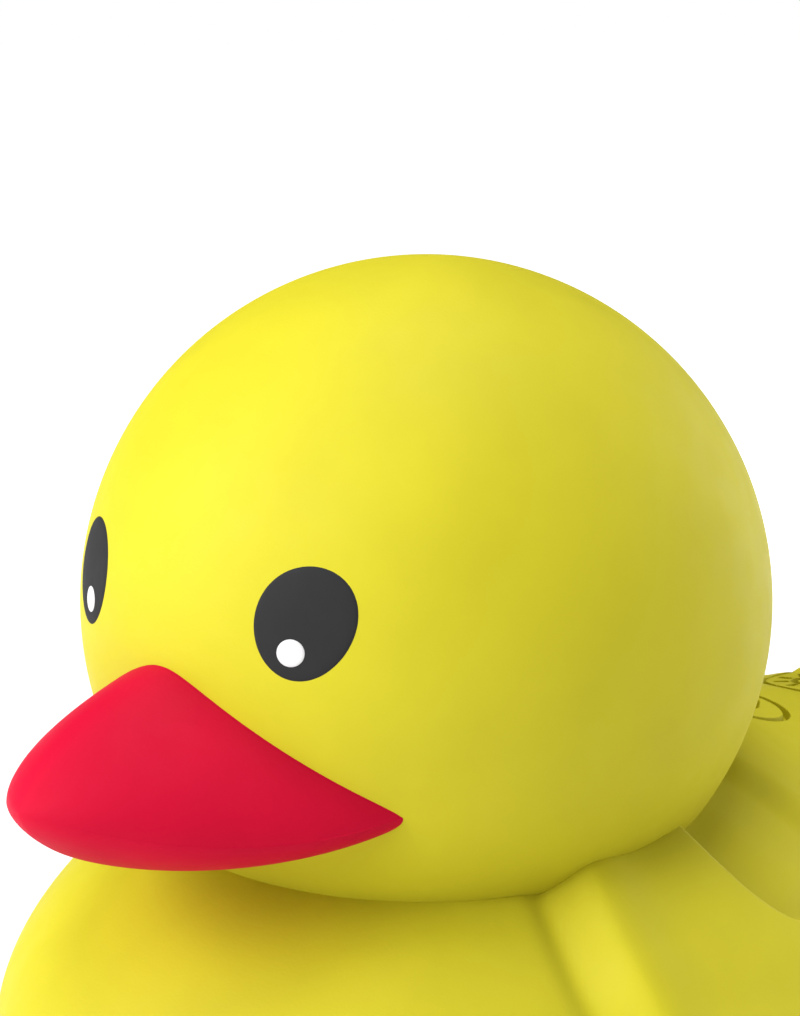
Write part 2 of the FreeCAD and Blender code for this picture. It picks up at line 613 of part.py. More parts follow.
def make_vent_ring():
    ring = tube(RING_IN_R, RING_OUT_R, RING_BOTTOM_Z, RING_TOP_Z)
    ribs = []
    for index in range(WINDOW_COUNT):
        for offset in RING_RIB_OFFSETS:
            angle = 360 * index / WINDOW_COUNT + 2 * WINDOW_TURN + offset
            ribs.append(cylinder(RING_RIB_R, RING_BOTTOM_Z, RING_TOP_Z, *polar(RING_OUT_R - 0.1, angle)))
    ring = fuse([ring] + ribs)
    for cutter in windows(CANISTER_OUT_R - 2, RING_OUT_R + 4, -WINDOW_TURN):
        ring = ring.cut(cutter)
    return ring


def make_tablet_grate():
    grate = cylinder(GRATE_R, GRATE_BOTTOM_Z, GRATE_TOP_Z)
    foot_bottom = CANISTER_FLOOR_Z + CANISTER_FLOOR
    feet = [cylinder(GRATE_FOOT_R, foot_bottom, GRATE_BOTTOM_Z + OVERLAP,
                     *polar(GRATE_FOOT_CIRCLE_R, 360 * (index + 0.5) / GRATE_FOOT_COUNT))
            for index in range(GRATE_FOOT_COUNT)]
    grate = fuse([grate] + feet)
    holes = [cylinder(GRATE_HOLE_R, GRATE_BOTTOM_Z - 1, GRATE_TOP_Z + 1)]
    for radius, count in GRATE_HOLE_ROWS:
        holes += [cylinder(GRATE_HOLE_R, GRATE_BOTTOM_Z - 1, GRATE_TOP_Z + 1, *polar(radius, 360 * index / count))
                  for index in range(count)]
    for hole in holes:
        grate = grate.cut(hole)
    return grate


def make_canister_gasket():
    return tube(GASKET_IN_R, GASKET_OUT_R, GASKET_BOTTOM_Z, GASKET_TOP_Z)


NODES = {
    "body_top_shell": make_body_top_shell,
    "body_hull": make_body_hull,
    "hull_seal": make_hull_seal,
    "shell_screws": make_shell_screws,
    "head_shell": make_head_shell,
    "beak": make_beak,
    "beak_push_nuts": make_beak_push_nuts,
    "eye_left": lambda: make_eye(1),
    "eye_right": lambda: make_eye(-1),
    "eye_highlight_left": lambda: make_highlight(1),
    "eye_highlight_right": lambda: make_highlight(-1),
    "neck_seal": make_neck_seal,
    "neck_clamp_ring": make_neck_clamp_ring,
    "neck_screws": make_neck_screws,
    "canister_socket": make_canister_socket,
    "socket_seal": make_socket_seal,
    "socket_screws": make_socket_screws,
    "tablet_canister": make_tablet_canister,
    "tablet_grate": make_tablet_grate,
    "canister_gasket": make_canister_gasket,
    "canister_base": make_canister_base,
    "vent_ring": make_vent_ring,
}

os.makedirs("parts", exist_ok=True)
for node, make in NODES.items():
    shape = make()
    shape.exportStep(f"parts/{node}.step")
    box = shape.BoundBox
    print(f"{node}: solids {len(shape.Solids)}, valid {shape.isValid()}, volume {shape.Volume / 1000:.2f} cm3, "
          f"z {box.ZMin:.1f} to {box.ZMax:.1f}, y {box.YMin:.1f} to {box.YMax:.1f}")
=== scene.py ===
import math

import bpy
import numpy as np
from mathutils import Matrix, Vector


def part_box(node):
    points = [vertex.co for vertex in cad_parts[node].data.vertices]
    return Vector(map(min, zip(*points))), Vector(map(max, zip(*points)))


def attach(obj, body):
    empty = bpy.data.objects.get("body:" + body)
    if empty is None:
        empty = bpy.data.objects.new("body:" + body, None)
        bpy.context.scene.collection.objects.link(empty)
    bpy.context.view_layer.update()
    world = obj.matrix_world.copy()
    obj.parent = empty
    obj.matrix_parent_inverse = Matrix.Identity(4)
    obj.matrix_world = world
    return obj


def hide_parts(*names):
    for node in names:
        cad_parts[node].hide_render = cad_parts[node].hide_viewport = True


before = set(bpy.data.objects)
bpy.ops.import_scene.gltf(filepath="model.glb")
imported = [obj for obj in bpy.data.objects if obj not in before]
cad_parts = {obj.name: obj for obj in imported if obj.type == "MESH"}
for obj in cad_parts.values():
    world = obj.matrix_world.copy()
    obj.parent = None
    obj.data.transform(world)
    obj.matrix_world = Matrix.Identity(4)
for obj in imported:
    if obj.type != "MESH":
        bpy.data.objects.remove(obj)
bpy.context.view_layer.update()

# ---------- driving sizes: millimetres and degrees, unless a name says head radii ----------

MM = 0.001
PALE_YELLOW = (0.458, 0.408, 0.0150)
SIGNAL_RED = (0.448, 0.0030, 0.0245)
EYE_GREY = (0.0190, 0.0190, 0.0198)
CLEAN_WHITE = (0.54, 0.54, 0.54)

# Rows and columns of the head, the beak and the inlays, and the angles above which their edges stay sharp
HEAD_GRID, BEAK_GRID, INLAY_GRID = (181, 360), (150, 256), (18, 128)
HEAD_LAST_ROW = 176.0        # angle from the crown
SKIN_SHARP, INLAY_SHARP, BEAK_SHARP = 40.0, 60.0, 70.0

# Head and face, in head radii from the head's centre
EYE_X, EYE_Z = 0.421, 0.165
EYE_HALF_WIDTH, EYE_HALF_HEIGHT = 0.131, 0.152
EYE_TILT = -6.2
EYE_EGG = 0.06               # how much broader an eye is above its middle than below
DOT_X, DOT_Z, DOT_R = 0.401, 0.092, 0.0382
BEAK_ROOT_Y, BEAK_TIP_Y = -0.55, -1.468
BEAK_HALF_WIDTH = 0.647
BEAK_PLAN_POWERS = (1.38, 0.641)
BEAK_TOP_RISE, BEAK_TOP_POWERS = 0.416, (2.8, 0.804)
BEAK_BOTTOM_DROP, BEAK_BOTTOM_POWERS = 0.162, (3.3, 0.5)
BEAK_RIM_Z, BEAK_RIM_SAG = -0.288, 0.085
BEAK_CREST, BEAK_FLANK = (1.146, 1.40), (0.752, 0.509)
BEAK_CREST_ROUND, BEAK_CREST_REACH = 0.07, 5.0       # rounding of the crest as a share of the half-width
BEAK_ROW_POWER, BEAK_TIP_GAP = 2.2, 1e-5             # rows crowd towards the tip and stop just short of it
BEAK_BELLY = (1.47, 0.525)
INLAY_CROWN_POWER = 12       # how flat an eye or dot stays before its edge turns down
INLAY_EDGE, INLAY_EDGE_POWER = 0.006, 40     # depth of its edge below the skin
INLAY_ROOT = 0.985           # radius of its buried underside
EYE_PROUD, DOT_PROUD = 0.0025, 0.0045

# Body form, close to the moulded shells'. The deck is the levelled back between the wings.
HALF_WIDTH = 81.0
FRONT_LENGTH, REAR_LENGTH = 104.6, 102.0
BACK_RISE = 49.4
DECK_RISE, DECK_SLOPE, DECK_CROWN = 50.2, 0.105, 0.003   # height, fall with y and with x squared
DECK_REAR_Y, DECK_REAR_FALL = 75.5, 0.09
DECK_DISH_Y, DECK_DISH = 58.0, 0.004     # the back turns up again towards the tail
DECK_VALLEY, DECK_VALLEY_WIDTH, DECK_VALLEY_Y = 2.2, 5.0, (52.0, 72.0)
DECK_PAD = 1.9                           # height of the plateau's own step
DECK_FRONT, DECK_SIDES, DECK_BLEND = (0.0, 30.0), (34.0, 62.0), 1.5   # y and |x| over which it comes and goes
DECK_LEVELS = (10.0, 36.0)               # levels over which the levelled back takes over from the body
TAIL_LIFT, TAIL_REACH, TAIL_SPREAD = 23.0, 20.0, 12.0
TAIL_FULL, TAIL_GONE = 18.0, 42.0        # levels where the tail is full and where it has gone
STERN_NARROWING = 0.12
TOP_RING_LEVEL = 84.0

# Wing: border points as (angle aft of the beam, level above the rim) in degrees
WING_FRONT_AND_BELLY = ((-42.5, 62), (-39.3, 49), (-36.4, 38), (-33.8, 28), (-31, 19), (-26, 12), (-16, 8),
                        (-2, 7), (14, 8), (28, 12), (41, 20), (52, 30), (59, 38.5))
WING_TOP_EDGE = ((-16.5, 60), (-14.6, 53), (-12.5, 45), (-10.0, 38), (-6.2, 32.9), (0, 30.8), (12, 29.8),
                 (26, 30.2), (40, 32.5), (51, 35.8), (59, 38.5))
WING_RIDGE_HEIGHT, WING_FIELD_HEIGHT, WING_EDGE_HEIGHT = 5.3, 3.9, 4.6
WING_RAMP = (1.0, 8.0)     # distances from the border over which the wing rises
WING_RIDGE_AT, WING_RIDGE_WIDTH = 8.8, 4.4
GROOVE_DEPTH, GROOVE_WIDTH, GROOVE_AT = 0.8, 1.8, 0.6   # channel along the front and belly border
GROOVE_END = (-20.0, 4.0)    # distances from the top edge over which the channel comes in
FRONT_RIDGE, FRONT_HEIGHT = 0.6, 0.25        # shares of the ridge and of the height that only the front has
LIP_WIDTH = 12.0             # width of the raised lip inside the top edge
TIP_ROUND = (0.5, 9.0)       # distances from the wing's tip over which it rises
WING_FRONT_FADE = (-24.0, 10.0)              # angles aft over which the front's ridge fades
EDGE_DROP, EDGE_INSIDE = 2.4, 0.6            # the step down from the top edge, outside and inside
VALLEY_DEPTH, VALLEY_FADE = 0.7, (44.0, 58.0)        # valley beside the top edge, fading over angles aft
VALLEY_STEP, VALLEY_FLOOR, VALLEY_WIDTH = (0.5, 3.2), 4.0, 12.0      # distances from the top edge
VALLEY_SIDE = 6.0                            # distance from the belly border over which the valley comes in

# Plateau of the back, its border points in the same angles
PLATEAU_EDGE = ((14.5, 70), (12.9, 60.5), (11.1, 47.8), (14, 44), (24, 43), (40, 42.5), (56, 41.5), (72, 39),
                (90, 37))
PLATEAU_FADE = 2.8           # half the width of its step
PLATEAU_END = (66.0, 86.0)   # angles aft over which the plateau's step fades
CHART_EDGE, CHART_BASE = 95.0, -9.0          # where the areas are closed, outside the chart
BELLY_LINE_LEAVES, TOP_LINE_LEAVES = -41.3, -13.5    # where the wing's lines leave it, under the head

# Engraved badges on the plateau: centres, ring and line sizes
BADGE_FRONT, BADGE_REAR = (21.0, 40.0), (15.3, 71.2)
BADGE_R, LINE_WIDTH, ENGRAVED_DEPTH = 9.0, 1.25, 1.9
LINE_WALL = (-0.15, 0.1)     # where an engraved line's wall starts and ends, from the line's edge
DROP_R, DROP_TIP = 3.0, 5.4  # the droplet's round end, and its point's distance from that end's centre
RAY_RING_R, RAYS, RAY_PITCH = 2.6, (4.4, 6.2), math.pi / 4
BADGES_ABOVE = 0.6 * BACK_RISE               # the lines are only cut above this height

# Rim of the upper shell: inset and the height over which it goes
RIM_INSET, RIM_INSET_HEIGHT = 0.35, 1.2

# Fineness of the upper shell: chart cells and the finest cells along each side of one
COLUMNS, ROWS = 288, 67
FINEST = 8
COARSE_CELL, BURIED_CELL = 9.0, 99.0         # cell sides wanted on plain skin and inside the head
BELLY_CELL, TOP_CELL, EDGE_CELL, LINE_CELL, RIM_CELL = 0.9, 0.5, 0.25, 0.2, 0.45
BELLY_BAND, TOP_BAND, EDGE_BAND, LINE_BAND, RIM_BAND = 14.0, 8.0, 2.6, 0.3, 2.0      # where those apply
LINE_BAND_PER_SIZE = 0.8     # how much a line's band widens with the cell
BURIED_DEPTH = 2.5           # skin this far inside the head needs no detail
SPLIT_ABOVE = 1.35           # a cell splits when it is larger than wanted by this factor
LEAST_COSINE = 0.15          # keeps the chart's scale from vanishing at the top

# Camera: direction and distance from a point beside the head, in degrees and head radii
CAMERA_AZIMUTH, CAMERA_ELEVATION = 44.30, 11.79
CAMERA_AIM, CAMERA_DISTANCE = (-0.0914, -0.0138, 0.2586), 6.644
CAMERA_LENS, CAMERA_SENSOR = 80.6, 36.0

# Light: softboxes by direction in the camera's axes (right, up, back) and power in watts; lengths in metres
WORLD_LIGHT = 0.03
SOFTBOX_DISTANCE, SOFTBOX_SIZE = 1.5, 1.1
SOFTBOXES = {"key_left": ((-0.9, 0.35, 0.35), 22.2), "key_front": ((-0.65, 0.45, 0.75), 16.0),
             "overhead": ((0.0, 1.0, 0.15), 19.5), "fill_right": ((0.9, 0.5, 0.2), 6.9),
             "rim_right": ((0.85, 0.35, -0.5), 8.8)}

# Floor: half its side, two greys, and the distances over which it fades into the white background, in metres
FLOOR_HALF = 40.0
FLOOR_GREYS, FLOOR_MOTTLE_SCALE = (0.90, 0.93), 30.0
FLOOR_GLOW, FLOOR_GLOW_REACH = 1.0, (0.35, 1.25)

# Surface detail of the plastics: noise scales per metre and how far the gloss varies
TINT_SCALE, GLOSS_SCALE = 45.0, 160.0
GLOSS_SPREAD = 0.04
GRAIN_SIZE = 0.00055

# ---------- places from the frame ----------

head_low, head_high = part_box("head_shell")
HEAD_R = (head_high.x - head_low.x) / 2
HEAD = Vector((0, (head_low.y + head_high.y) / 2, head_high.z - HEAD_R))
PARTING_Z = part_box("body_top_shell")[0].z


def ease(low, high, value):
    share = np.clip((value - low) / (high - low), 0.0, 1.0)
    return share * share * (3 - 2 * share)


def hump(value, centre, width):
    return np.exp(-((value - centre) / width) ** 2)


# ---------- meshes ----------

def make_piece(name, points, faces, body, material, replaced=(), sharp=SKIN_SHARP):
    mesh = bpy.data.meshes.new(name)
    mesh.from_pydata([tuple(p) for p in points], [], faces)
    mesh.validate()
    mesh.shade_smooth()
    mesh.set_sharp_from_angle(angle=math.radians(sharp))
    piece = bpy.data.objects.new(name, mesh)
    bpy.context.scene.collection.objects.link(piece)
    mesh.materials.append(material)
    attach(piece, body)
    if replaced:
        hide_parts(*replaced)
    return piece


def grid_faces(rows, columns, closed_rows=False):
    """Quads over a grid of points, rows × columns, closed round each row when asked."""
    faces = []
    across = columns if closed_rows else columns - 1
    for row in range(rows - 1):
        for column in range(across):
            beside = (column + 1) % columns
            faces.append((row * columns + column, row * columns + beside,
                          (row + 1) * columns + beside, (row + 1) * columns + column))
    return faces


# ---------- body form ----------

def outline(turn):
    """Body's widest level at plan angles in radians."""
    length = np.where(np.sin(turn) < 0, FRONT_LENGTH, REAR_LENGTH)
    narrowing = 1 - STERN_NARROWING * np.maximum(0, np.sin(turn)) ** 3
    return HALF_WIDTH * np.cos(turn) * narrowing, length * np.sin(turn)


def deck_height(x, y):
    """Height of the levelled back above the parting level, without the plateau's step."""
    dish = DECK_DISH * np.maximum(0, y - DECK_DISH_Y) ** 2
    fall = DECK_REAR_FALL * np.maximum(0, y - DECK_REAR_Y) ** 2
    valley = DECK_VALLEY * hump(x, 0, DECK_VALLEY_WIDTH) * ease(*DECK_VALLEY_Y, y)
    return DECK_RISE - DECK_SLOPE * y - DECK_CROWN * x ** 2 + dish - fall - valley


def tail_share(turn, level):
    """How far the tail's upturn is reached, from 0 to 1."""
    aside = (np.degrees(turn) - 90) / TAIL_SPREAD
    rise = np.degrees(level)
    return np.exp(-aside ** 2) * ease(0, TAIL_FULL, rise) * (1 - ease(TAIL_FULL, TAIL_GONE, rise))


def body_form(turn, level):
    """Points of the upper body without wings, from plan angles and levels in radians."""
    x_rim, y_rim = outline(turn)
    tail = tail_share(turn, level)
    x, y = x_rim * np.cos(level), y_rim * np.cos(level) + TAIL_REACH * tail
    z = BACK_RISE * np.sin(level) + TAIL_LIFT * tail
    short = deck_height(x, y) - z - DECK_PAD
    share = ease(*DECK_FRONT, y) * (1 - ease(*DECK_SIDES, np.abs(x))) * ease(*DECK_LEVELS, np.degrees(level))
    return np.stack([x, y, z + (short + np.hypot(short, DECK_BLEND)) / 2 * share], axis=-1)


def angle_aft(turn):
    """Angle from the beam, -90 at the breast and 90 at the tail, the same on both sides."""
    return np.degrees(np.arcsin(np.clip(np.sin(turn), -1, 1)))


def smooth_line(points, steps=10):
    """Catmull-Rom line through a few design points."""
    knots = np.array([points[0], *points, points[-1]], float)
    share = np.linspace(0, 1, steps, endpoint=False)[:, None]
    spans = []
    for a, b, c, d in zip(knots, knots[1:], knots[2:], knots[3:]):
        spans.append(0.5 * (2 * b + (c - a) * share + (2 * a - 5 * b + 4 * c - d) * share ** 2
                            + (3 * b - a - 3 * c + d) * share ** 3))
    return np.vstack(spans + [knots[-1:]])


def distance_to(line, aft, level, scale_aft, scale_level):
    """Distance in millimetres from chart points to a line."""
    best = np.full(aft.shape, np.inf)
    for start, end in zip(line, line[1:]):
        du, dv = (end[0] - start[0]) * scale_aft, (end[1] - start[1]) * scale_level
        pu, pv = (aft - start[0]) * scale_aft, (level - start[1]) * scale_level
        part = np.clip((pu * du + pv * dv) / (du * du + dv * dv + 1e-12), 0, 1)
        best = np.minimum(best, np.hypot(pu - part * du, pv - part * dv))
    return best


def inside(polygon, aft, level):
    """Whether chart points are inside a closed polygon."""
    within = np.zeros(aft.shape, bool)
    for (u0, v0), (u1, v1) in zip(polygon, np.roll(polygon, -1, axis=0)):
        if v0 == v1:
            continue
        crosses = (v0 > level) != (v1 > level)
        within ^= crosses & (aft < (u1 - u0) * (level - v0) / (v1 - v0) + u0)
    return within


BELLY_LINE = smooth_line(WING_FRONT_AND_BELLY)
TOP_LINE = smooth_line(WING_TOP_EDGE)
PLATEAU_LINE = smooth_line(PLATEAU_EDGE)
ABOVE_BELLY = np.vstack([BELLY_LINE, [(CHART_EDGE, BELLY_LINE[-1][1]), (CHART_EDGE, CHART_EDGE),
                                      (BELLY_LINE_LEAVES, CHART_EDGE)]])
BELOW_TOP = np.vstack([TOP_LINE, [(CHART_EDGE, TOP_LINE[-1][1]), (CHART_EDGE, CHART_BASE),
                                  (-CHART_EDGE, CHART_BASE), (-CHART_EDGE, CHART_EDGE),
                                  (TOP_LINE_LEAVES, CHART_EDGE)]])
PLATEAU_AREA = np.vstack([PLATEAU_LINE, [(CHART_EDGE, PLATEAU_LINE[-1][1]), (CHART_EDGE, CHART_EDGE),
                                         (PLATEAU_LINE[0][0], CHART_EDGE)]])


def chart_scales(turn, level):
    """Millimetres of surface per degree along and up, near chart points."""
    x_rim, y_rim = outline(turn)
    reach = np.hypot(x_rim, y_rim)
    along = reach * np.maximum(np.cos(level), LEAST_COSINE)
    up = np.hypot(reach * np.sin(level), BACK_RISE * np.cos(level))
    return np.radians(1) * along, np.radians(1) * up


def wing_and_plateau(turn, level):
    """Relief of wings, grooves, valleys and plateau, and the distances to the wing's top and belly lines."""
    aft, rise = angle_aft(turn), np.degrees(level)
    scales = chart_scales(turn, level)
    to_belly = distance_to(BELLY_LINE, aft, rise, *scales)
    to_top = distance_to(TOP_LINE, aft, rise, *scales)
    to_deck = distance_to(PLATEAU_LINE, aft, rise, *scales)
    in_belly = np.where(inside(ABOVE_BELLY, aft, rise), to_belly, -to_belly)
    in_top = np.where(inside(BELOW_TOP, aft, rise), to_top, -to_top)
    in_deck = np.where(inside(PLATEAU_AREA, aft, rise), to_deck, -to_deck)

    front = 1 - ease(*WING_FRONT_FADE, aft)
    ridge = (WING_RIDGE_HEIGHT - WING_FIELD_HEIGHT) * hump(in_belly, WING_RIDGE_AT, WING_RIDGE_WIDTH)
    lip = (WING_EDGE_HEIGHT - WING_FIELD_HEIGHT) * (1 - ease(0, LIP_WIDTH, in_top))
    height = WING_FIELD_HEIGHT + ridge * (1 - FRONT_RIDGE * (1 - front)) + lip
    height *= 1 - FRONT_HEIGHT * (1 - front)
    tip_gap = np.hypot((aft - TOP_LINE[-1][0]) * scales[0], (rise - TOP_LINE[-1][1]) * scales[1])
    tip = ease(*TIP_ROUND, tip_gap)
    wing = height * ease(*WING_RAMP, in_belly) * ease(-EDGE_DROP, EDGE_INSIDE, in_top) * tip
    groove = -GROOVE_DEPTH * hump(in_belly, GROOVE_AT, GROOVE_WIDTH) * ease(*GROOVE_END, in_top) * tip
    valley = -VALLEY_DEPTH * ease(*VALLEY_STEP, -in_top) * (1 - ease(VALLEY_FLOOR, VALLEY_WIDTH, -in_top)) \
        * (1 - ease(*VALLEY_FADE, aft)) * ease(0, VALLEY_SIDE, in_belly)
    deck = DECK_PAD * ease(-PLATEAU_FADE, PLATEAU_FADE, in_deck) * (1 - ease(*PLATEAU_END, aft))
    return wing + valley + deck + groove, to_top, to_belly


def body_normals(turn, level):
    x_rim, y_rim = outline(turn)
    length = np.where(np.sin(turn) < 0, FRONT_LENGTH, REAR_LENGTH)
    normal = np.stack([np.cos(turn) * np.cos(level) / HALF_WIDTH, np.sin(turn) * np.cos(level) / length,
                       np.sin(level) / BACK_RISE], axis=-1)
    return normal / np.linalg.norm(normal, axis=-1, keepdims=True)


# ---------- engraved badges ----------

def ring_gap(x, y, radius):
    return np.abs(np.hypot(x, y) - radius)


def segment_gap(x, y, start, end):
    run = np.subtract(end, start)
    part = np.clip(((x - start[0]) * run[0] + (y - start[1]) * run[1]) / (run @ run), 0, 1)
    return np.hypot(x - start[0] - part * run[0], y - start[1] - part * run[1])


def droplet_gap(x, y):
    """Distance to a droplet's outline, its point towards the tail."""
    bow = math.acos(DROP_R / DROP_TIP)
    angle = np.abs(np.arctan2(x, y))
    round_part = np.where(angle > bow, ring_gap(x, y, DROP_R), np.inf)
    touch = (DROP_R * math.sin(bow), DROP_R * math.cos(bow))
    side = segment_gap(np.abs(x), y, touch, (0.0, DROP_TIP))
    return np.minimum(round_part, side)


def ticks_gap(x, y):
    """Distance to a small ring with eight short rays round it."""
    angle = np.arctan2(y, x)
    folded = (angle + RAY_PITCH / 2) % RAY_PITCH - RAY_PITCH / 2
    reach = np.hypot(x, y)
    rays = segment_gap(reach * np.cos(folded), reach * np.sin(folded), (RAYS[0], 0.0), (RAYS[1], 0.0))
    return np.minimum(ring_gap(x, y, RAY_RING_R), rays)


def badge_gap(x, y):
    """Distance in plan to the nearest engraved line of the badges on the back."""
    front = np.abs(x) - BADGE_FRONT[0], y - BADGE_FRONT[1]
    rear = np.abs(x) - BADGE_REAR[0], y - BADGE_REAR[1]
    rings = np.minimum(ring_gap(*front, BADGE_R), ring_gap(*rear, BADGE_R))
    return np.minimum(rings, np.minimum(droplet_gap(*front), ticks_gap(*rear)))


# ---------- the body's upper shell as a chart with finer cells where the relief is fine ----------

def body_surface(turn, level):
    """Points of the finished upper body, in millimetres above the parting level."""
    points = body_form(turn, level)
    relief, to_top, to_belly = wing_and_plateau(turn, level)
    points = points + body_normals(turn, level) * relief[..., None]
    wall = [LINE_WIDTH / 2 + edge for edge in LINE_WALL]
    engraved = 1 - ease(*wall, badge_gap(points[..., 0], points[..., 1]))
    points[..., 2] -= ENGRAVED_DEPTH * engraved * (points[..., 2] > BADGES_ABOVE)
    inset = RIM_INSET * (1 - ease(0, RIM_INSET_HEIGHT, points[..., 2]))
    reach = np.hypot(points[..., 0], points[..., 1])
    points[..., :2] *= (1 - inset / reach)[..., None]
    return points, to_top, to_belly


def chart_angles(columns, rows):
    turn = 2 * math.pi * columns / (COLUMNS * FINEST)
    level = np.radians(TOP_RING_LEVEL) * rows / (ROWS * FINEST)
    return turn, level


def cell_size_wanted(column, row, size):
    """Cell side in millimetres that the relief needs at cell centres."""
    turn, level = chart_angles(column + size / 2, row + size / 2)
    points, to_top, to_belly = body_surface(turn, level)
    margin = size / FINEST
    wanted = np.full(turn.shape, COARSE_CELL)
    wanted = np.where(to_belly < BELLY_BAND, BELLY_CELL, wanted)
    wanted = np.where(to_top < TOP_BAND + margin, TOP_CELL, wanted)
    wanted = np.where(to_top < EDGE_BAND + margin, EDGE_CELL, wanted)
    line_band = LINE_WIDTH / 2 + LINE_BAND + LINE_BAND_PER_SIZE * margin
    near_line = badge_gap(points[..., 0], points[..., 1]) < line_band
    wanted = np.where((points[..., 2] > BADGES_ABOVE) & near_line, LINE_CELL, wanted)
    wanted = np.where(points[..., 2] < RIM_BAND, RIM_CELL, wanted)
    from_head = np.linalg.norm(points * MM + [0, -HEAD.y, PARTING_Z - HEAD.z], axis=-1)
    return np.where(from_head < HEAD_R - BURIED_DEPTH * MM, BURIED_CELL, wanted)


def chart_cells():
    """Leaf cells of the chart as (column, row, size), in finest cells."""
    column, row = np.meshgrid(np.arange(COLUMNS) * FINEST, np.arange(ROWS) * FINEST)
    column, row, size = column.ravel(), row.ravel(), FINEST
    leaves = []
    while size > 1:
        wanted = cell_size_wanted(column, row, size)
        turn, level = chart_angles(column + size / 2, row + size / 2)
        per_level = chart_scales(turn, level)[1]
        side = np.degrees(np.radians(TOP_RING_LEVEL) / (ROWS * FINEST)) * size * per_level
        split = side > wanted * SPLIT_ABOVE
        leaves += [(c, r, size) for c, r in zip(column[~split].tolist(), row[~split].tolist())]
        size //= 2
        column = np.concatenate([column[split] + dc for dc in (0, size) for dr in (0, size)])
        row = np.concatenate([row[split] + dr for dc in (0, size) for dr in (0, size)])
    leaves += [(c, r, 1) for c, r in zip(column.tolist(), row.tolist())]
    return leaves


def chart_mesh():
    """Points and faces of the closed upper body, with no gaps between cells of different sizes."""
    leaves = chart_cells()
    around = COLUMNS * FINEST
    corners = {}
    for column, row, size in leaves:
        for c, r in ((column, row), (column + size, row), (column + size, row + size), (column, row + size)):
            corners.setdefault((c % around, r), len(corners))
    faces = []
    for column, row, size in leaves:
        walk = [(column + step, row) for step in range(size)]
        walk += [(column + size, row + step) for step in range(size)]
        walk += [(column + size - step, row + size) for step in range(size)]
        walk += [(column, row + size - step) for step in range(size)]
        face = [corners.get((c % around, r)) for c, r in walk]
        faces.append([index for index in face if index is not None])
    keys = np.array(list(corners), float)
    turn, level = chart_angles(keys[:, 0], keys[:, 1])
    points = body_surface(turn, level)[0]
    for ring, order in ((0, -1), (ROWS * FINEST, 1)):
        cap = sorted((c, index) for (c, r), index in corners.items() if r == ring)
        faces.append([index for _, index in cap][::order])
    return points * MM + [0, 0, PARTING_Z], faces


def make_body_top(material):
    points, faces = chart_mesh()
    return make_piece("duck_body_top", points, faces, "duck", material, ["body_top_shell"])


# ---------- head, eyes and beak ----------

def head_direction(x, z):
    """Unit directions on the front of the head from places in front view, in head radii."""
    return np.stack([x, -np.sqrt(np.maximum(1 - x * x - z * z, 0)), z], axis=-1)


def make_head(material):
    """Closed ball in rows from the crown down to the neck."""
    rows, columns = HEAD_GRID
    fall = np.linspace(0, math.radians(HEAD_LAST_ROW), rows)[1:]
    turn = np.linspace(0, 2 * math.pi, columns, endpoint=False)
    fall, turn = np.meshgrid(fall, turn, indexing="ij")
    unit = np.stack([np.sin(fall) * np.cos(turn), np.sin(fall) * np.sin(turn), np.cos(fall)], axis=-1)
    points = np.vstack([unit.reshape(-1, 3), [(0, 0, 1)], [(0, 0, -1)]]) * HEAD_R + np.array(HEAD)
    faces = [face[::-1] for face in grid_faces(rows - 1, columns, True)]
    crown, base, last = len(points) - 2, len(points) - 1, (rows - 2) * columns
    for column in range(columns):
        beside = (column + 1) % columns
        faces.append((crown, column, beside))
        faces.append((base, last + beside, last + column))
    return make_piece("duck_head", points, faces, "duck", material, ["head_shell"])


def make_inlay(name, centre, half_width, half_height, tilt, egg, proud, material, node):
    """Domed inlay on the head, outlined as an ellipse or egg in front view, its edge just under the skin."""
    rings, columns = INLAY_GRID
    angle = np.linspace(0, 2 * math.pi, columns, endpoint=False)
    across = half_width * np.cos(angle) * (1 + egg * np.sin(angle))
    high = half_height * np.sin(angle)
    lean = math.radians(tilt)
    across, high = (across * math.cos(lean) - high * math.sin(lean),
                    across * math.sin(lean) + high * math.cos(lean))
    points = []
    for ring in range(rings):
        share = (ring + 1) / rings
        lift = proud * (1 - share ** INLAY_CROWN_POWER) - INLAY_EDGE * share ** INLAY_EDGE_POWER
        unit = head_direction(centre[0] + across * share, centre[1] + high * share)
        points.append(unit * (1 + lift))
    points.append(head_direction(centre[0] + across, centre[1] + high) * INLAY_ROOT)
    points = np.vstack(points)
    middle = head_direction(np.array([centre[0]]), np.array([centre[1]]))
    points = np.vstack([points, middle * (1 + proud), middle * INLAY_ROOT]) * HEAD_R + np.array(HEAD)
    faces = grid_faces(rings + 1, columns, True)
    top, bottom = len(points) - 2, len(points) - 1
    for column in range(columns):
        beside = (column + 1) % columns
        faces.append((top, beside, column))
        faces.append((bottom, rings * columns + column, rings * columns + beside))
    return make_piece(name, points, faces, "duck", material, [node], sharp=INLAY_SHARP)


def falling(share, powers):
    return np.maximum(1 - share ** powers[0], 0) ** powers[1]


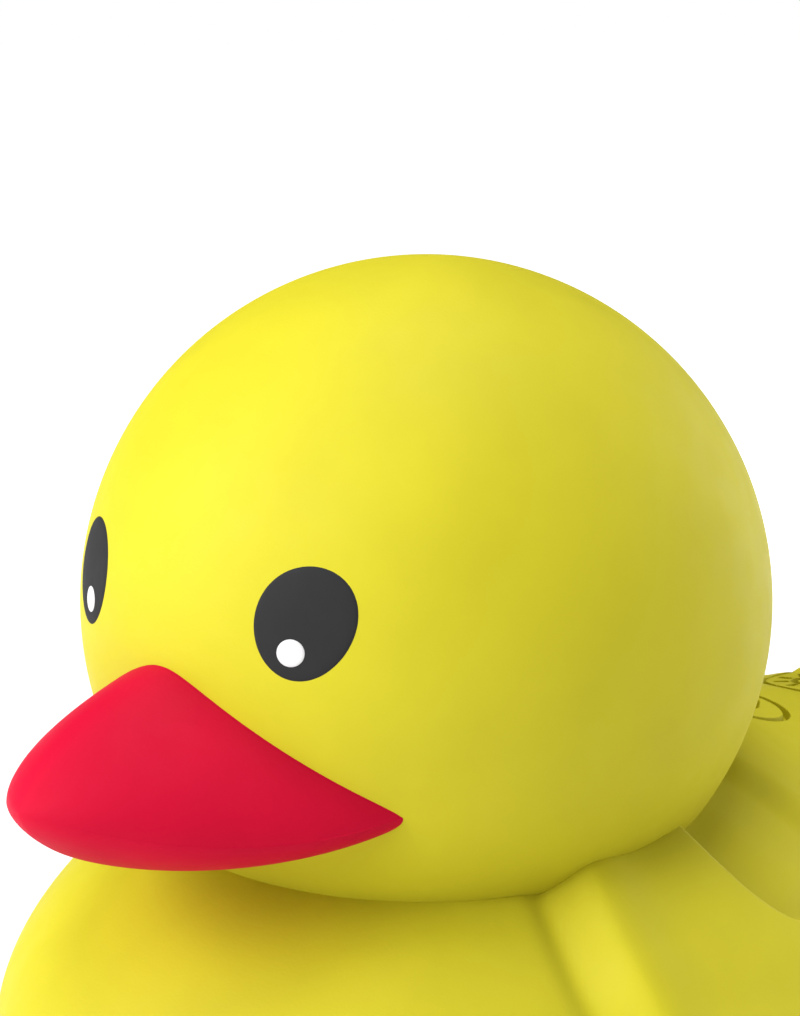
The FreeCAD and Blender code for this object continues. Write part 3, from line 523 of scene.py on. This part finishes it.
def make_beak(material):
    """Bill as rows from its root to its tip: a crested upper half and a rounder lower half over one rim."""
    rows, columns = BEAK_GRID
    share = 1 - (1 - np.linspace(0, 1, rows)) ** BEAK_ROW_POWER
    share[-1] = 1 - BEAK_TIP_GAP
    angle = np.linspace(0, 2 * math.pi, columns, endpoint=False)
    share, angle = np.meshgrid(share, angle, indexing="ij")
    across = np.cos(angle)
    reach = BEAK_CREST_REACH * BEAK_CREST_ROUND
    rounded = np.hypot(across, BEAK_CREST_ROUND) - BEAK_CREST_ROUND * hump(across, 0, reach)
    width = BEAK_HALF_WIDTH * falling(share, BEAK_PLAN_POWERS)
    rise = BEAK_TOP_RISE * falling(share, BEAK_TOP_POWERS)
    drop = BEAK_BOTTOM_DROP * falling(share, BEAK_BOTTOM_POWERS)
    rim = BEAK_RIM_Z - BEAK_RIM_SAG * 4 * share * (1 - share)
    crest, flank = (low + (high - low) * share for low, high in (BEAK_CREST, BEAK_FLANK))
    upper = rise * falling(rounded, (crest, flank))
    lower = drop * falling(np.abs(across), BEAK_BELLY)
    z = rim + np.where(np.sin(angle) >= 0, upper, -lower)
    y = BEAK_ROOT_Y + (BEAK_TIP_Y - BEAK_ROOT_Y) * share
    points = np.stack([width * across, y, z], axis=-1).reshape(-1, 3) * HEAD_R + np.array(HEAD)
    faces = grid_faces(rows, columns, True)
    faces.append(tuple(range(columns))[::-1])
    faces.append(tuple(range((rows - 1) * columns, rows * columns)))
    return make_piece("duck_beak", points, faces, "duck", material, ["beak"], sharp=BEAK_SHARP)


# ---------- materials ----------

def node_tree(name):
    material = bpy.data.materials.new(name)
    material.use_nodes = True
    return material, material.node_tree.nodes, material.node_tree.links


def noise(nodes, links, place, scale, detail=2.0):
    texture = nodes.new("ShaderNodeTexNoise")
    texture.inputs["Scale"].default_value = scale
    texture.inputs["Detail"].default_value = detail
    links.new(place, texture.inputs["Vector"])
    return texture.outputs["Fac"]


def spread(nodes, links, value, low, high, source=(0.3, 0.7)):
    """Maps a value, by default a noise, smoothly to a range."""
    mapping = nodes.new("ShaderNodeMapRange")
    mapping.interpolation_type = "SMOOTHSTEP"
    mapping.inputs["From Min"].default_value = source[0]
    mapping.inputs["From Max"].default_value = source[1]
    mapping.inputs["To Min"].default_value = low
    mapping.inputs["To Max"].default_value = high
    links.new(value, mapping.inputs["Value"])
    return mapping.outputs["Result"]


def moulded(name, colour, roughness, specular, grain=0.00002, mottle=0.03, metallic=0.0):
    """Moulded plastic, rubber or metal: fine grain, faint mottling of the colour and of the gloss."""
    material, nodes, links = node_tree(name)
    shader = nodes["Principled BSDF"]
    place = nodes.new("ShaderNodeTexCoord").outputs["Object"]
    tint = nodes.new("ShaderNodeMix")
    tint.data_type = "RGBA"
    tint.inputs["A"].default_value = (*[channel * (1 - mottle) for channel in colour], 1)
    tint.inputs["B"].default_value = (*[min(1.0, channel * (1 + mottle)) for channel in colour], 1)
    cloudy = noise(nodes, links, place, TINT_SCALE, 3.0)
    links.new(spread(nodes, links, cloudy, 0.0, 1.0), tint.inputs["Factor"])
    links.new(tint.outputs["Result"], shader.inputs["Base Color"])
    patchy = noise(nodes, links, place, GLOSS_SCALE, 4.0)
    gloss = spread(nodes, links, patchy, roughness - GLOSS_SPREAD, roughness + GLOSS_SPREAD)
    links.new(gloss, shader.inputs["Roughness"])
    bump = nodes.new("ShaderNodeBump")
    bump.inputs["Distance"].default_value = grain
    bump.inputs["Strength"].default_value = 1.0
    links.new(noise(nodes, links, place, 1 / GRAIN_SIZE), bump.inputs["Height"])
    links.new(bump.outputs["Normal"], shader.inputs["Normal"])
    shader.inputs["Specular IOR Level"].default_value = specular
    shader.inputs["Metallic"].default_value = metallic
    return material


def floor_material():
    material, nodes, links = node_tree("pale_floor")
    shader = nodes["Principled BSDF"]
    place = nodes.new("ShaderNodeTexCoord").outputs["Object"]
    tint = nodes.new("ShaderNodeMix")
    tint.data_type = "RGBA"
    tint.inputs["A"].default_value = (*[FLOOR_GREYS[0]] * 3, 1)
    tint.inputs["B"].default_value = (*[FLOOR_GREYS[1]] * 3, 1)
    links.new(noise(nodes, links, place, FLOOR_MOTTLE_SCALE), tint.inputs["Factor"])
    links.new(tint.outputs["Result"], shader.inputs["Base Color"])
    shader.inputs["Roughness"].default_value = 0.9
    shader.inputs["Specular IOR Level"].default_value = 0.1
    shader.inputs["Emission Color"].default_value = (1, 1, 1, 1)
    reach = nodes.new("ShaderNodeVectorMath")
    reach.operation = "LENGTH"
    links.new(place, reach.inputs[0])
    links.new(spread(nodes, links, reach.outputs["Value"], 0.0, FLOOR_GLOW, FLOOR_GLOW_REACH),
              shader.inputs["Emission Strength"])
    return material


def dress(material, *names):
    """Gives carried-over frame nodes their material."""
    for name in names:
        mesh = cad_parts[name].data
        mesh.materials.clear()
        mesh.materials.append(material)


# ---------- stage, camera and light ----------


def camera_axes():
    a, e = math.radians(CAMERA_AZIMUTH), math.radians(CAMERA_ELEVATION)
    back = Vector((math.sin(a) * math.cos(e), -math.cos(a) * math.cos(e), math.sin(e)))
    right = Vector((math.cos(a), math.sin(a), 0))
    return right, back.cross(right), back


def make_camera():
    right, up, back = camera_axes()
    data = bpy.data.cameras.new("camera")
    data.lens, data.sensor_width = CAMERA_LENS, CAMERA_SENSOR
    camera = bpy.data.objects.new("camera", data)
    place = HEAD + HEAD_R * (Vector(CAMERA_AIM) + CAMERA_DISTANCE * back)
    camera.matrix_world = Matrix.Translation(place) @ Matrix((right, up, back)).transposed().to_4x4()
    bpy.context.scene.collection.objects.link(camera)
    bpy.context.scene.camera = camera


def make_softbox(name, direction, power):
    """Round area light that faces the head from a direction given in the camera's axes."""
    right, up, back = camera_axes()
    towards = (right * direction[0] + up * direction[1] + back * direction[2]).normalized()
    data = bpy.data.lights.new(name, "AREA")
    data.shape, data.size, data.energy = "DISK", SOFTBOX_SIZE, power
    light = bpy.data.objects.new(name, data)
    light.location = HEAD + towards * SOFTBOX_DISTANCE
    light.rotation_euler = towards.to_track_quat("Z", "Y").to_euler()
    bpy.context.scene.collection.objects.link(light)


def make_world():
    world = bpy.data.worlds.new("studio")
    world.use_nodes = True
    nodes, links = world.node_tree.nodes, world.node_tree.links
    lit, seen = nodes["Background"], nodes.new("ShaderNodeBackground")
    lit.inputs["Strength"].default_value = WORLD_LIGHT
    lit.inputs["Color"].default_value = (1, 1, 1, 1)
    seen.inputs["Color"].default_value = (1, 1, 1, 1)
    blend, path = nodes.new("ShaderNodeMixShader"), nodes.new("ShaderNodeLightPath")
    links.new(path.outputs["Is Camera Ray"], blend.inputs["Fac"])
    links.new(lit.outputs["Background"], blend.inputs[1])
    links.new(seen.outputs["Background"], blend.inputs[2])
    links.new(blend.outputs["Shader"], nodes["World Output"].inputs["Surface"])
    bpy.context.scene.world = world


def make_floor():
    corners = [(x * FLOOR_HALF, y * FLOOR_HALF, 0) for x, y in ((-1, -1), (1, -1), (1, 1), (-1, 1))]
    mesh = bpy.data.meshes.new("floor")
    mesh.from_pydata(corners, [], [(0, 1, 2, 3)])
    floor = bpy.data.objects.new("floor", mesh)
    bpy.context.scene.collection.objects.link(floor)
    mesh.materials.append(floor_material())


# ---------- the scene ----------

yellow = moulded("yellow_plastic", PALE_YELLOW, roughness=0.58, specular=0.12)
red = moulded("red_plastic", SIGNAL_RED, roughness=0.62, specular=0.06)
eye_grey = moulded("eye_grey", EYE_GREY, roughness=0.7, specular=0.10, grain=0.00001)
dot_white = moulded("dot_white", CLEAN_WHITE, roughness=0.6, specular=0.2, grain=0.00001, mottle=0.01)
white = moulded("white_plastic", (0.46, 0.47, 0.46), roughness=0.42, specular=0.4)
blue = moulded("blue_plastic", (0.012, 0.112, 0.264), roughness=0.42, specular=0.4)
rubber = moulded("seal_rubber", (0.02, 0.02, 0.022), roughness=0.72, specular=0.3, mottle=0.15)
steel = moulded("screw_steel", (0.58, 0.58, 0.60), roughness=0.32, specular=0.5, metallic=1.0)

make_body_top(yellow)
make_head(yellow)
make_beak(red)
for side, name in ((1, "left"), (-1, "right")):
    make_inlay(f"duck_eye_{name}", (side * EYE_X, EYE_Z), EYE_HALF_WIDTH, EYE_HALF_HEIGHT, side * EYE_TILT,
               EYE_EGG, EYE_PROUD, eye_grey, f"eye_{name}")
    make_inlay(f"duck_eye_dot_{name}", (side * DOT_X, DOT_Z), DOT_R, DOT_R, 0.0, 0.0, DOT_PROUD,
               dot_white, f"eye_highlight_{name}")

dress(yellow, "body_hull")
dress(white, "canister_socket", "tablet_canister", "tablet_grate", "neck_clamp_ring")
dress(blue, "canister_base", "vent_ring")
dress(rubber, "hull_seal", "neck_seal", "socket_seal", "canister_gasket")
dress(steel, "shell_screws", "neck_screws", "socket_screws", "beak_push_nuts")

make_camera()
make_world()
for name, (direction, power) in SOFTBOXES.items():
    make_softbox(name, direction, power)
make_floor()
bpy.context.scene.view_settings.view_transform = "Standard"
